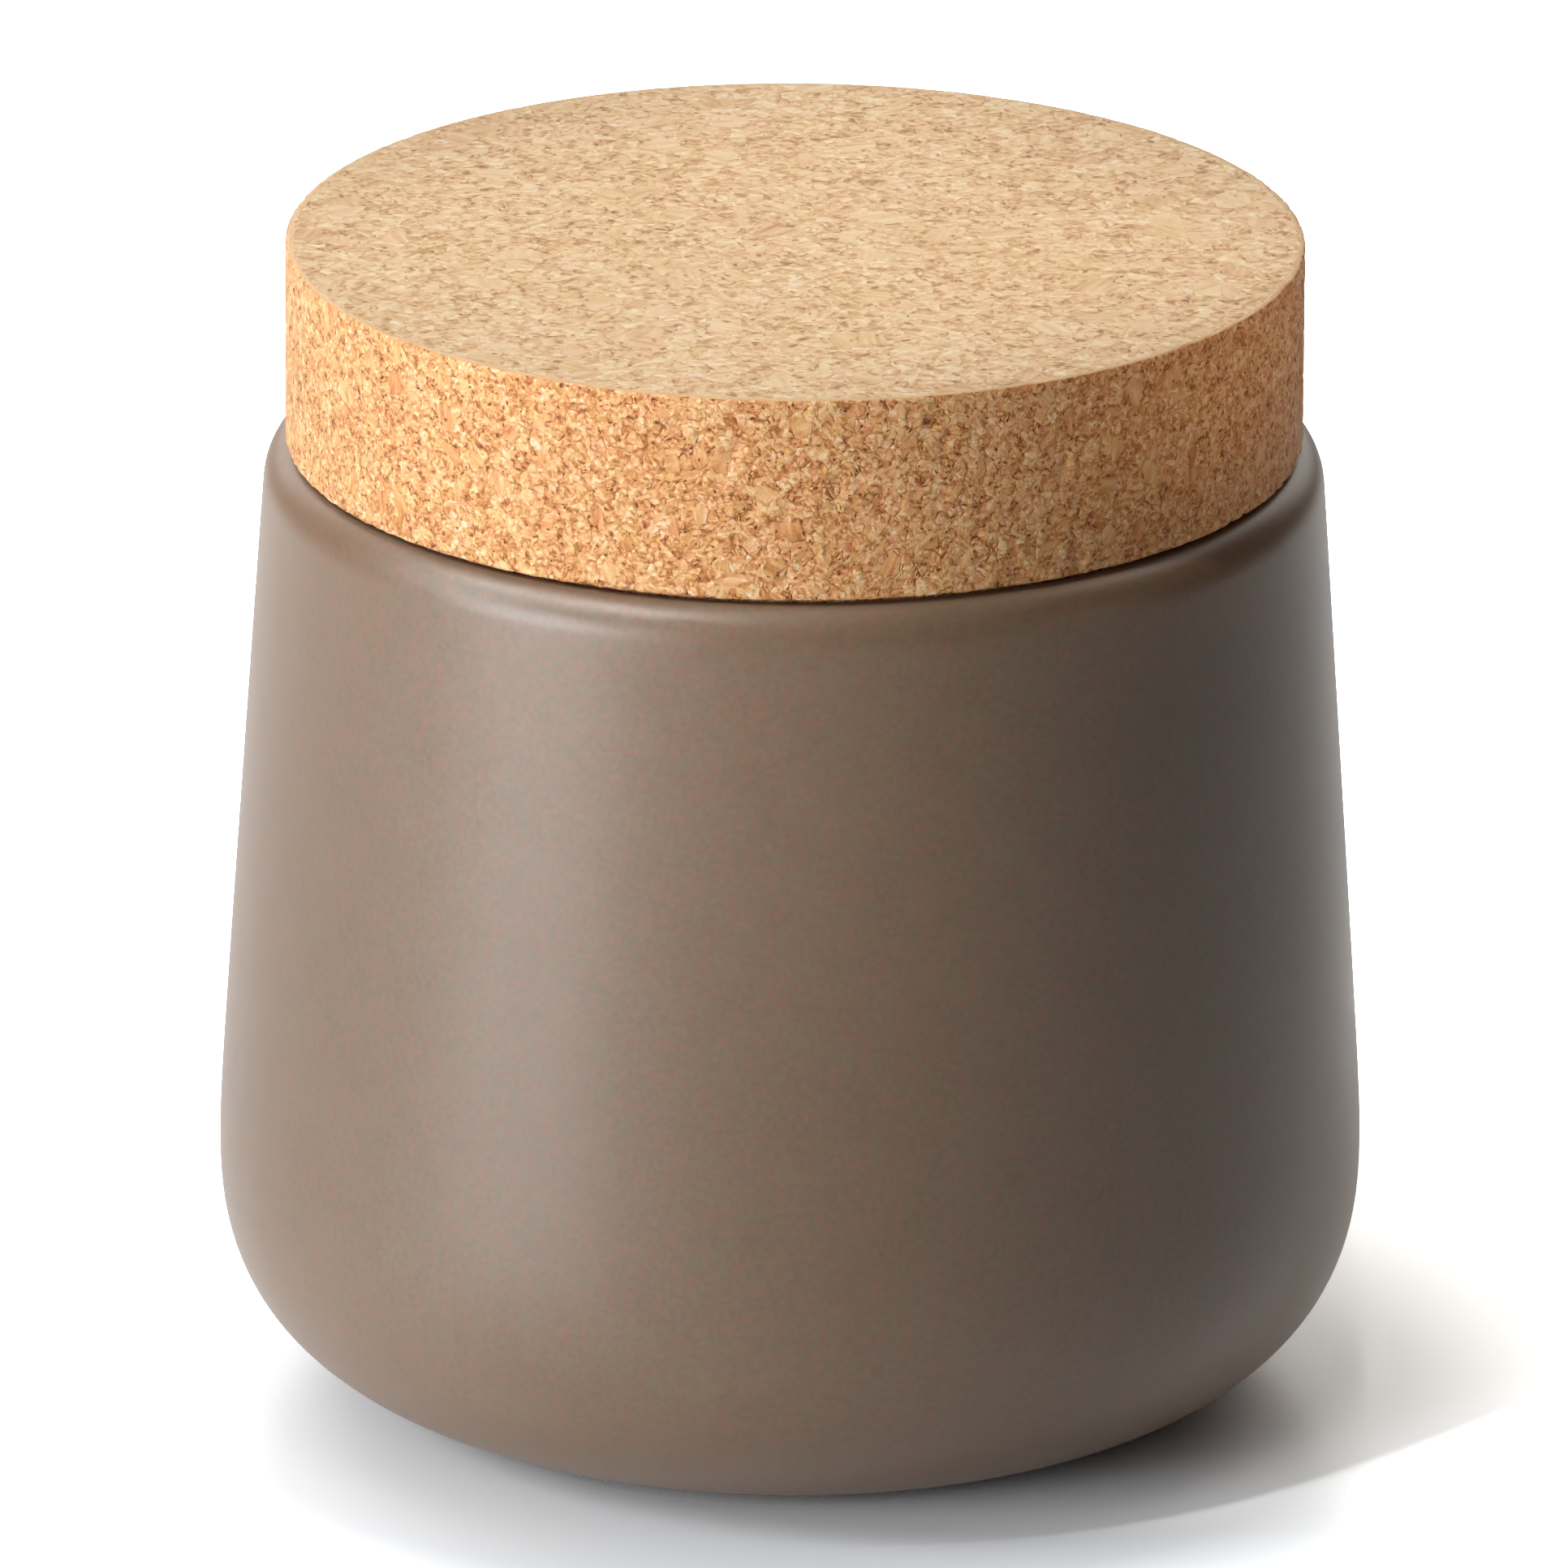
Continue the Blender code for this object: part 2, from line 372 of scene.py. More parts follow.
@dataclass(frozen=True)
class AgglomeratedCork:
    """Cork granules pressed with a binder into a block, then cut and sanded.

    Each granule is cut across its growth layers, so it shows short flakes that all lie its own way,
    from straw to orange brown. Between them lie dark crumbs of bark, and open pores and gaps whose dark
    is painted shade. A few coarse granules are cut along a layer instead, and look smooth or banded.
    The lid's top is seen at a low angle, where flakes of their real size are too fine to show: there they
    are drawn coarser, and paler partly for its sanding dust and partly as a painted sheen.
    """

    pattern: GranulePattern
    name: str = "agglomerated_cork_sanded"
    golden: tuple[tuple[float, str], ...] = (
        (0.0, "#7A4018"),
        (0.2, "#B87538"),
        (0.42, "#D79F5D"),
        (0.66, "#E9BD84"),
        (1.0, "#F6E4B4"),
    )
    rosy: tuple[tuple[float, str], ...] = (
        (0.0, "#74381A"),
        (0.2, "#AC6234"),
        (0.42, "#D58C57"),
        (0.66, "#E8AE7E"),
        (1.0, "#F3DDBE"),
    )
    bark: str = "#7A4420"
    flake_size: tuple[float, float, float] = (0.00032, 0.0007, 0.0007)  # thickness, width and length
    layer_size: tuple[float, float, float] = (0.00045, 0.0009, 0.0009)  # drifts of tone over the flakes
    band_size: tuple[float, float, float] = (0.00042, 0.003, 0.003)  # rings of a whole granule
    bend_size: float = 0.0007  # the flakes' outlines wander this closely
    bend_share: float = 0.9  # and by this share of a flake
    fibre_size: float = 0.0003  # real cells are 0.03 mm and too fine to show: drawn coarser
    granule_swing: float = 0.22
    flake_swing: float = 0.4
    layer_swing: float = 0.85
    band_swing: float = 0.8
    fibre_swing: float = 0.18
    mean_tone: float = 0.5
    flake_hue_share: float = 0.3
    crumb_share: float = 0.2
    # the crumbs' darkening: their own colour where they are bark, painted shade where they are pores
    bark_dark_and_pore_shade: float = 0.62
    crumb_cluster: Span = (0.4, 0.65)
    core_size: Span = (0.1, 0.5)  # the middle of a flake, in shares of its size
    crevice_width: float = 0.00015
    # painted shade in the gaps left open between granules
    crevice_painted_shade: float = 0.25
    crevice_cluster: Span = (0.42, 0.68)
    bark_share: float = 0.02
    cluster_size: float = 0.0013  # crumbs and gaps gather where granules meet, so about as far apart
    flake_height: float = 0.00003
    fibre_height: float = 0.00004
    pore_depth: float = 0.00008
    # On the top, the paler dark parts and the gain are partly sanding dust and partly a painted sheen of
    # light grazing it
    top_scale: float = 0.55  # the top's pattern is this much coarser,
    top_sheen_gamma: float = 0.56  # this much paler in its dark parts,
    top_gain: Colour = (0.88, 0.855, 0.755, 1.0)  # a little darker and yellower all over,
    top_relief: float = 0.3  # and sanded down to this share of the relief
    roughness: float = 0.7
    gloss: float = 0.3
    sheen: float = 0.08
    sheen_roughness: float = 0.5

    def make(self) -> bpy.types.Material:
        """Build the material."""
        material, tree = new_material(self.name)
        whole = add_node(tree, "ShaderNodeTexCoord").outputs["Object"]
        scale = self.on_top(tree, 1.0, self.top_scale)
        place = scaled(tree, whole, scale)
        granules = self.pattern.add_to(tree, place)
        draw = add_node(tree, "ShaderNodeSeparateXYZ", {"Vector": granules["own"]})
        turned = self.turned(tree, place, granules["own"])
        flake, core = self.flakes(tree, place, turned)
        cluster, fibre = (noise(tree, place, size) for size in (self.cluster_size, self.fibre_size))
        crumb = self.crumbs(tree, cluster, flake.outputs[1], core)
        crevice = self.crevices(tree, cluster, granules["edge"])
        layer = self.stretched_noise(tree, turned, self.layer_size)
        band = self.stretched_noise(tree, turned, self.band_size)
        fine = self.swung(tree, flake.outputs[0], self.flake_swing, self.mean_tone)
        fine = self.swung(tree, layer, self.layer_swing, fine)
        smooth = self.swung(tree, band, self.band_swing, self.mean_tone)
        detail = blend(tree, granules["coarse"], fine, smooth)
        tone = self.swung(tree, fibre.outputs[0], self.fibre_swing, detail)
        tone = self.swung(tree, draw.outputs[0], self.granule_swing, tone)
        # Crumbs darken the tone as bark's own colour and as painted shade in pores; the gaps between
        # granules darken it as painted shade
        for dark, depth in ((crumb, self.bark_dark_and_pore_shade), (crevice, self.crevice_painted_shade)):
            tone = calculate(tree, "MULTIPLY_ADD", dark, -depth, tone)
        hue = blend(tree, self.flake_hue_share, draw.outputs[1], flake.outputs[2])
        golden, rosy = (self.ramp(tree, tone, stops) for stops in (self.golden, self.rosy))
        granular = blend(tree, hue, golden, rosy, data_type="RGBA")
        chosen = calculate(tree, "LESS_THAN", flake.outputs[1], self.bark_share)
        barky = calculate(tree, "MULTIPLY", chosen, core)
        natural = blend(tree, barky, granular, linear(self.bark), data_type="RGBA")
        # Painted sheen: the top's colour is paled and tinted, partly for its sanding dust and partly for
        # light grazing it
        gamma = self.on_top(tree, 1.0, self.top_sheen_gamma)
        sheen_paled = add_node(tree, "ShaderNodeGamma", {"Color": natural, "Gamma": gamma})
        colour = blend(
            tree,
            self.on_top(tree, 0.0, 1.0),
            sheen_paled,
            self.top_gain,
            data_type="RGBA",
            blend_type="MULTIPLY",
        )
        height = calculate(tree, "MULTIPLY", flake.outputs[0], self.flake_height)
        lifts = (
            (fibre.outputs[0], self.fibre_height),
            (crumb, -self.pore_depth),
            (crevice, -self.pore_depth),
        )
        for part, lift in lifts:
            height = calculate(tree, "MULTIPLY_ADD", part, lift, height)
        relief = self.on_top(tree, 1.0, self.top_relief)
        bump = add_node(tree, "ShaderNodeBump", {"Height": height, "Distance": 1.0, "Strength": relief})
        shader = add_node(
            tree,
            "ShaderNodeBsdfPrincipled",
            {
                "Base Color": colour,
                "Roughness": self.roughness,
                "Normal": bump,
                "Specular IOR Level": self.gloss,
                "Sheen Weight": self.sheen,
                "Sheen Roughness": self.sheen_roughness,
            },
        )
        add_node(tree, "ShaderNodeOutputMaterial", {"Surface": shader})
        return material

    def on_top(self, tree: bpy.types.NodeTree, elsewhere: float, above: float) -> bpy.types.Node:
        """Give one value on the lid's level top and another on its other faces.

        Args:
            tree: The material's tree.
            elsewhere: The value on the side, the underside and the plug.
            above: The value on the top.

        Returns:
            The value.
        """
        facing = add_node(tree, "ShaderNodeNewGeometry").outputs["Normal"]
        upward = add_node(tree, "ShaderNodeSeparateXYZ", {"Vector": facing}).outputs["Z"]
        return remap(tree, upward, (TOP_SLOPE, 1.0), (elsewhere, above))

    def swung(
        self, tree: bpy.types.NodeTree, value: NodeInput, swing: float, base: NodeInput
    ) -> bpy.types.Node:
        """Add a value from 0 to 1 to a base, as a swing either way.

        Args:
            tree: The material's tree.
            value: The value, whose middle is one half.
            swing: How much the sum changes while the value goes from 0 to 1.
            base: What it is added to.

        Returns:
            The sum.
        """
        centred = calculate(tree, "SUBTRACT", value, HALF)
        return calculate(tree, "MULTIPLY_ADD", centred, swing, base)

    def ramp(
        self, tree: bpy.types.NodeTree, tone: NodeInput, stops: tuple[tuple[float, str], ...]
    ) -> bpy.types.Node:
        """Turn a tone into a colour.

        Args:
            tree: The material's tree.
            tone: The tone, from 0 to 1.
            stops: The colours along it.

        Returns:
            The colour ramp.
        """
        ramp = add_node(tree, "ShaderNodeValToRGB", {"Fac": tone})
        while len(ramp.color_ramp.elements) < len(stops):
            ramp.color_ramp.elements.new(HALF)
        for element, (share, code) in zip(ramp.color_ramp.elements, stops):
            element.position = share
            element.color = linear(code)
        return ramp

    def turned(
        self, tree: bpy.types.NodeTree, place: NodeInput, own: NodeInput
    ) -> bpy.types.Node:
        """Turn the place in each granule by its own random colour, so that its layers lie its own way.

        Args:
            tree: The material's tree.
            place: The position in the lid's own coordinates.
            own: The granule's random colour.

        Returns:
            The turned place.
        """
        turn = scaled(tree, own, math.tau)
        return add_node(
            tree,
            "ShaderNodeVectorRotate",
            {"Vector": place, "Rotation": turn},
            rotation_type="EULER_XYZ",
        )

    def stretched(
        self, tree: bpy.types.NodeTree, turned: NodeInput, size: tuple[float, float, float]
    ) -> bpy.types.Node:
        """Scale the turned place so that a pattern of unit size gets this size.

        Args:
            tree: The material's tree.
            turned: The granule's turned place.
            size: The pattern's thickness, width and length.

        Returns:
            The scaled place.
        """
        shrink = tuple(1 / side for side in size)
        return combine(tree, "MULTIPLY", turned, shrink)

    def stretched_noise(
        self, tree: bpy.types.NodeTree, turned: NodeInput, size: tuple[float, float, float]
    ) -> bpy.types.Node:
        """Add noise drawn out along the granule's layers.

        Args:
            tree: The material's tree.
            turned: The granule's turned place.
            size: The noise's thickness, width and length.

        Returns:
            A value from 0 to 1.
        """
        place = self.stretched(tree, turned, size)
        return noise(tree, place, 1.0)

    def flakes(
        self, tree: bpy.types.NodeTree, place: NodeInput, turned: NodeInput
    ) -> tuple[bpy.types.Node, bpy.types.Node]:
        """Add the flakes.

        Args:
            tree: The material's tree.
            place: The position in the lid's own coordinates.
            turned: The granule's turned place.

        Returns:
            Three random values of the flake, and a value that is 1 in its middle and 0 at its rim.
        """
        bend = noise(tree, place, self.bend_size)
        drawn = self.stretched(tree, turned, self.flake_size)
        bent = displaced(tree, drawn, bend.outputs["Color"], self.bend_share)
        cells = add_node(tree, "ShaderNodeTexVoronoi", {"Vector": bent, "Scale": 1.0})
        core = remap(tree, cells.outputs["Distance"], self.core_size, (1.0, 0.0))
        draws = add_node(tree, "ShaderNodeSeparateXYZ", {"Vector": cells.outputs["Color"]})
        return draws, core

    def crumbs(
        self, tree: bpy.types.NodeTree, cluster: NodeInput, lot: NodeInput, core: NodeInput
    ) -> bpy.types.Node:
        """Add the crumbs of bark and the pores, which are the middles of some flakes and lie in clusters.
        The bark is dark in its own colour; the pores are painted dark as shade.

        Args:
            tree: The material's tree.
            cluster: The noise that is high where they lie.
            lot: A random value of the flake.
            core: A value that is 1 in the flake's middle and 0 at its rim.

        Returns:
            A value that is 1 in them.
        """
        share = remap(tree, cluster, self.crumb_cluster, (0.0, self.crumb_share))
        chosen = calculate(tree, "LESS_THAN", lot, share)
        return calculate(tree, "MULTIPLY", chosen, core)

    def crevices(
        self, tree: bpy.types.NodeTree, cluster: NodeInput, edge: NodeInput
    ) -> bpy.types.Node:
        """Add the gaps that are left open along some of the granules' edges, painted dark as shade.

        Args:
            tree: The material's tree.
            cluster: The noise that is high where they lie.
            edge: The distance to the granule's edge, in metres.

        Returns:
            A value that is 1 in the middle of a gap.
        """
        near = remap(tree, edge, (0.0, self.crevice_width), (1.0, 0.0))
        open_share = remap(tree, cluster, self.crevice_cluster)
        return calculate(tree, "MULTIPLY", near, open_share)


@dataclass(frozen=True)
class TurnedBody:
    """A closed body turned about Z from an outline, made by a geometry tree.

    The tree bends a box of squares: its rows become rings of the outline, and its two ends become the
    flat discs that close the body, so that no point is a pole.
    """

    pattern: GranulePattern
    tree_name: str = "turned_body"
    box_side: float = 2.0  # the box of squares reaches from -1 to 1 each way
    chip_size: float = 0.0018  # a chip takes out about one granule
    chip_detail: float = 2.0
    chip_range: Span = (0.58, 0.72)
    wave_size: float = 0.03  # how evenly a thrown or cast wall runs
    top_share: float = 0.2  # the level top is sanded, and keeps this share of the relief

    def tree(self) -> bpy.types.GeometryNodeTree:
        """Give the geometry tree, which is built once."""
        return bpy.data.node_groups.get(self.tree_name) or self.build_tree()

    def build_tree(self) -> bpy.types.GeometryNodeTree:
        """Build the geometry tree.

        Returns:
            The tree, with inputs for the squares along a quarter turn's two sides, the relief and
            the finishes.
        """
        tree = bpy.data.node_groups.new(self.tree_name, "GeometryNodeTree")
        inputs = (
            ("Outline", "NodeSocketGeometry"),
            ("Divisions", "NodeSocketInt"),
            ("Granule Depth", "NodeSocketFloat"),
            ("Chip Depth", "NodeSocketFloat"),
            ("Wave Depth", "NodeSocketFloat"),
            ("Finish", "NodeSocketMaterial"),
            ("Foot Finish", "NodeSocketMaterial"),
            ("Foot From Row", "NodeSocketInt"),
            ("Foot To Row", "NodeSocketInt"),
        )
        for name, kind in inputs:
            tree.interface.new_socket(name, in_out="INPUT", socket_type=kind)
        tree.interface.new_socket("Body", in_out="OUTPUT", socket_type="NodeSocketGeometry")
        given = add_node(tree, "NodeGroupInput").outputs
        row, mesh = self.add_rings(tree, given)
        relief = self.add_relief(tree, given)
        normal = add_node(tree, "GeometryNodeInputNormal")
        inward = scaled(tree, normal, relief)
        uneven = add_node(tree, "GeometryNodeSetPosition", {"Geometry": mesh, "Offset": inward})
        smooth = add_node(tree, "GeometryNodeSetShadeSmooth", {"Geometry": uneven, "Shade Smooth": True})
        real = add_node(tree, "GeometryNodeRealizeInstances", {"Geometry": smooth})
        dressed = add_node(
            tree, "GeometryNodeSetMaterial", {"Geometry": real, "Material": given["Finish"]}
        )
        above = add_node(
            tree,
            "FunctionNodeCompare",
            {2: row, 3: given["Foot From Row"]},
            data_type="INT",
            operation="GREATER_EQUAL",
        )
        below = add_node(
            tree,
            "FunctionNodeCompare",
            {2: row, 3: given["Foot To Row"]},
            data_type="INT",
            operation="LESS_EQUAL",
        )
        bare = add_node(tree, "FunctionNodeBooleanMath", {0: above, 1: below}, operation="AND")
        shod = add_node(
            tree,
            "GeometryNodeSetMaterial",
            {"Geometry": dressed, "Selection": bare, "Material": given["Foot Finish"]},
        )
        add_node(tree, "NodeGroupOutput", {"Body": shod})
        return tree

    def add_rings(
        self, tree: bpy.types.GeometryNodeTree, given: bpy.types.NodeOutputs
    ) -> tuple[bpy.types.Node, bpy.types.Node]:
        """Add the nodes that bend the box of squares into rings of the outline.

        Args:
            tree: The geometry tree.
            given: The outputs of its group input.

        Returns:
            The row that a point lies in, kept from before the bend, and the bent mesh.
        """
        count = add_node(tree, "GeometryNodeAttributeDomainSize", {"Geometry": given["Outline"]})
        rows = count.outputs["Point Count"]
        steps = calculate(tree, "SUBTRACT", rows, 1.0)
        size = add_node(
            tree, "ShaderNodeCombineXYZ", {"X": self.box_side, "Y": self.box_side, "Z": steps}
        )
        across = calculate(tree, "ADD", given["Divisions"], 1.0)
        box = add_node(
            tree,
            "GeometryNodeMeshCube",
            {"Size": size, "Vertices X": across, "Vertices Y": across, "Vertices Z": rows},
        )
        place = add_node(tree, "GeometryNodeInputPosition")
        height = add_node(tree, "ShaderNodeSeparateXYZ", {"Vector": place}).outputs["Z"]
        lifted = calculate(tree, "MULTIPLY_ADD", steps, HALF, height)
        whole = add_node(tree, "FunctionNodeFloatToInt", {"Float": lifted}, rounding_mode="ROUND")
        kept = add_node(tree, "GeometryNodeCaptureAttribute", {"Geometry": box.outputs["Mesh"]})
        kept.capture_items.new("INT", "Row")
        tree.links.new(first_output(whole), kept.inputs["Row"])
        row = kept.outputs["Row"]
        spot = add_node(tree, "GeometryNodeInputPosition")
        outline = add_node(
            tree,
            "GeometryNodeSampleIndex",
            {"Geometry": given["Outline"], "Value": spot, "Index": row},
            data_type="FLOAT_VECTOR",
        )
        ring = add_node(tree, "ShaderNodeSeparateXYZ", {"Vector": outline})
        flat = combine(tree, "MULTIPLY", place, (1.0, 1.0, 0.0))
        spans = combine(tree, "ABSOLUTE", flat)
        span = add_node(tree, "ShaderNodeSeparateXYZ", {"Vector": spans})
        share = calculate(tree, "MAXIMUM", span.outputs["X"], span.outputs["Y"])
        square = add_node(tree, "ShaderNodeCombineXYZ", {"X": share, "Y": share, "Z": 1.0})
        on_side = combine(tree, "DIVIDE", flat, square)
        angle = scaled(tree, on_side, math.pi / 4)
        spread = combine(tree, "TANGENT", angle)
        heading = combine(tree, "NORMALIZE", spread)
        radius = calculate(tree, "MULTIPLY", share, ring.outputs["X"])
        level = add_node(tree, "ShaderNodeCombineXYZ", {"Z": ring.outputs["Z"]})
        out = scaled(tree, heading, radius)
        bent = combine(tree, "ADD", out, level)
        mesh = add_node(
            tree, "GeometryNodeSetPosition", {"Geometry": kept.outputs["Geometry"], "Position": bent}
        )
        return row, mesh

    def add_relief(
        self, tree: bpy.types.GeometryNodeTree, given: bpy.types.NodeOutputs
    ) -> bpy.types.Node:
        """Add the nodes that say how far a point moves along its normal, which is never outwards.

        Args:
            tree: The geometry tree.
            given: The outputs of its group input.

        Returns:
            The move, zero or negative.
        """
        place = add_node(tree, "GeometryNodeInputPosition")
        granules = self.pattern.add_to(tree, place)
        draw = add_node(tree, "ShaderNodeSeparateXYZ", {"Vector": granules["own"]})
        sunk = calculate(tree, "MULTIPLY", draw.outputs[1], given["Granule Depth"])
        chips = noise(tree, place, self.chip_size, self.chip_detail)
        chip = remap(tree, chips, self.chip_range, (0.0, given["Chip Depth"]))
        waves = noise(tree, place, self.wave_size)
        wave = calculate(tree, "MULTIPLY", waves.outputs[0], given["Wave Depth"])
        both = calculate(tree, "ADD", sunk, chip)
        every = calculate(tree, "ADD", both, wave)
        facing = add_node(tree, "GeometryNodeInputNormal")
        upward = add_node(tree, "ShaderNodeSeparateXYZ", {"Vector": facing}).outputs["Z"]
        kept = remap(tree, upward, (TOP_SLOPE, 1.0), (-1.0, -self.top_share))
        return calculate(tree, "MULTIPLY", every, kept)

    def make(self, name: str, outline: list[Point], **values: NodeInput) -> bpy.types.Object:
        """Turn an outline into one plain mesh.

        Args:
            name: The piece's name.
            outline: Radius and height of each ring, bottom disc first, top disc last.
            values: The tree's inputs, with an underscore for each space in their names.

        Returns:
            The piece, at the origin, with its place in its mesh.
        """
        line = bpy.data.meshes.new(name + "_outline")
        line.from_pydata([(radius, 0.0, height) for radius, height in outline], [], [])
        guide = bpy.data.objects.new(name + "_outline", line)
        bpy.context.scene.collection.objects.link(guide)
        tree = self.tree()
        modifier = guide.modifiers.new(self.tree_name, "NODES")
        modifier.node_group = tree
        sockets = {
            item.name: item.identifier
            for item in tree.interface.items_tree
            if item.item_type == "SOCKET" and item.in_out == "INPUT"
        }
        for key, value in values.items():
            modifier[sockets[key.replace("_", " ").title()]] = value
        graph = bpy.context.evaluated_depsgraph_get()
        mesh = bpy.data.meshes.new_from_object(guide.evaluated_get(graph), depsgraph=graph)
        mesh.name = name
        piece = bpy.data.objects.new(name, mesh)
        bpy.context.scene.collection.objects.link(piece)
        bpy.data.objects.remove(guide, do_unlink=True)
        bpy.data.meshes.remove(line)
        return piece


@dataclass
class StonewareJar:
    """The jar: tapered wall, rounded heel and lip, hollow inside, on a bare foot ring."""

    height: float
    widest_radius: float
    widest_height: float = 0.0287
    top_radius: float = 0.0596  # the tapered wall, carried up to the height of the crest
    heel_start_radius: float = 0.0285
    heel_squareness: float = 2.51  # 2 would be an ellipse, and more is fuller in the corner
    wall_ease_share: float = 0.068  # of the wall's height, in which it turns from upright to its taper
    wall_thickness: float = 0.005
    lip_crest_share: float = 0.65  # of the wall's thickness, from the outside to the crest
    lip_drop: float = 0.0046  # height of the lip's rounding on the outside
    mouth_drop: float = 0.0025  # and on the inside
    floor_thickness: float = 0.006
    foot_radius: float = 0.0405
    foot_width: float = 0.005
    foot_recess: float = 0.0015
    recess_slope: float = 0.0012
    foot_edge_round: float = 0.0003
    wave_depth: float = 0.00003
    divisions: int = 64  # squares along a quarter of the way round
    heel_rows: int = 30
    wall_rows: int = 48
    lip_rows: int = 12
    edge_rows: int = 3

    def heel_point(self, angle: float, end_radius: float, low: float) -> Point:
        """Find a point on a heel, flat at its start radius and upright at its end radius.

        Args:
            angle: Where on the heel, from 0 at its start to a quarter turn at its end.
            end_radius: The radius that it ends at.
            low: The height that it starts at.

        Returns:
            Its radius and height.
        """
        power = 2 / self.heel_squareness
        reach = math.sin(angle) ** power
        rise = 1 - math.cos(angle) ** power
        radius = self.heel_start_radius + (end_radius - self.heel_start_radius) * reach
        return (radius, low + (self.widest_height - low) * rise)

    def wall_radius(self, height: float) -> float:
        """Find the outer radius of the tapered wall at a height above the widest place.

        Args:
            height: The height above the table.

        Returns:
            The radius.
        """
        share = (height - self.widest_height) / (self.height - self.widest_height)
        ease = self.wall_ease_share
        lean = (math.hypot(share, ease) - ease) / (math.hypot(1, ease) - ease)
        return self.widest_radius + (self.top_radius - self.widest_radius) * lean

    def wall(self, thickness: float, top: float) -> list[Point]:
        """Find the rows up one face of the wall, closest together near its foot, where it bends most.

        Args:
            thickness: How far inside the outer face it lies.
            top: The height that it ends at.

        Returns:
            Its points above the widest place.
        """
        points = []
        for row in range(1, self.wall_rows + 1):
            share = row / self.wall_rows
            height = self.widest_height + (top - self.widest_height) * (share + share * share) / 2
            points.append((self.wall_radius(height) - thickness, height))
        return points

    def rounding(self, drop: float, reach: float, thickness: float) -> list[Point]:
        """Find the rows round one half of the lip, up to its crest.

        Args:
            drop: The height of the rounding.
            reach: How far it turns towards the crest, positive inwards.
            thickness: How far inside the outer face its foot lies.

        Returns:
            Its points above its foot, with the crest last.
        """
        points = []
        for row in range(1, self.lip_rows + 1):
            angle = math.pi / 2 * row / self.lip_rows
            height = self.height - drop + drop * math.sin(angle)
            turned = reach * (1 - math.cos(angle))
            points.append((self.wall_radius(height) - thickness - turned, height))
        return points

    def foot(self) -> list[Point]:
        """Find the rows of the foot ring under the jar.

        Returns:
            Its points, from the edge of the recess outwards.
        """
        inside = self.foot_radius - self.foot_width
        edge = self.foot_edge_round
        points = [(inside - self.recess_slope, self.foot_recess)]
        quarter = [math.pi / 2 * row / self.edge_rows for row in range(self.edge_rows + 1)]
        points += [
            (inside + edge * (1 - math.cos(angle)), edge * (1 - math.sin(angle))) for angle in quarter
        ]
        points += [
            (self.foot_radius - edge * (1 - math.sin(angle)), edge * (1 - math.cos(angle)))
            for angle in quarter
        ]
        return points

    def outline(self) -> list[Point]:
        """Find the whole outline.

        Returns:
            Its points, from the recess under the jar, up the outside and down to the floor inside.
        """
        heel_width = self.widest_radius - self.heel_start_radius
        share = (self.foot_radius - self.heel_start_radius) / heel_width
        first = math.asin(share ** (self.heel_squareness / 2))
        points = self.foot()
        for row in range(self.heel_rows + 1):
            angle = first + (math.pi / 2 - first) * row / self.heel_rows
            points.append(self.heel_point(angle, self.widest_radius, 0.0))
        reach = self.wall_thickness * self.lip_crest_share
        points += self.wall(0.0, self.height - self.lip_drop)
        points += self.rounding(self.lip_drop, reach, 0.0)
        inside = []
        floor = self.foot_recess + self.floor_thickness
        for row in range(self.heel_rows + 1):
            angle = math.pi / 2 * row / self.heel_rows
            inside.append(self.heel_point(angle, self.widest_radius - self.wall_thickness, floor))
        inside += self.wall(self.wall_thickness, self.height - self.mouth_drop)
        inside += self.rounding(self.mouth_drop, reach - self.wall_thickness, self.wall_thickness)[:-1]
        return points + inside[::-1]

    def build(self, body: TurnedBody) -> bpy.types.Object:
        """Build, dress and place the jar.

        Args:
            body: What turns the outline into a mesh.

        Returns:
            The jar.
        """
        piece = body.make(
            "stoneware_jar",
            self.outline(),
            divisions=self.divisions,
            granule_depth=0.0,
            chip_depth=0.0,
            wave_depth=self.wave_depth,
            finish=SatinGlaze().make(),
            foot_finish=BareStoneware().make(),
            foot_from_row=1,
            foot_to_row=len(self.foot()) - 1,
        )
        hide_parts(Node.JAR.value)
        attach(piece, Body.JAR.value)
        return piece


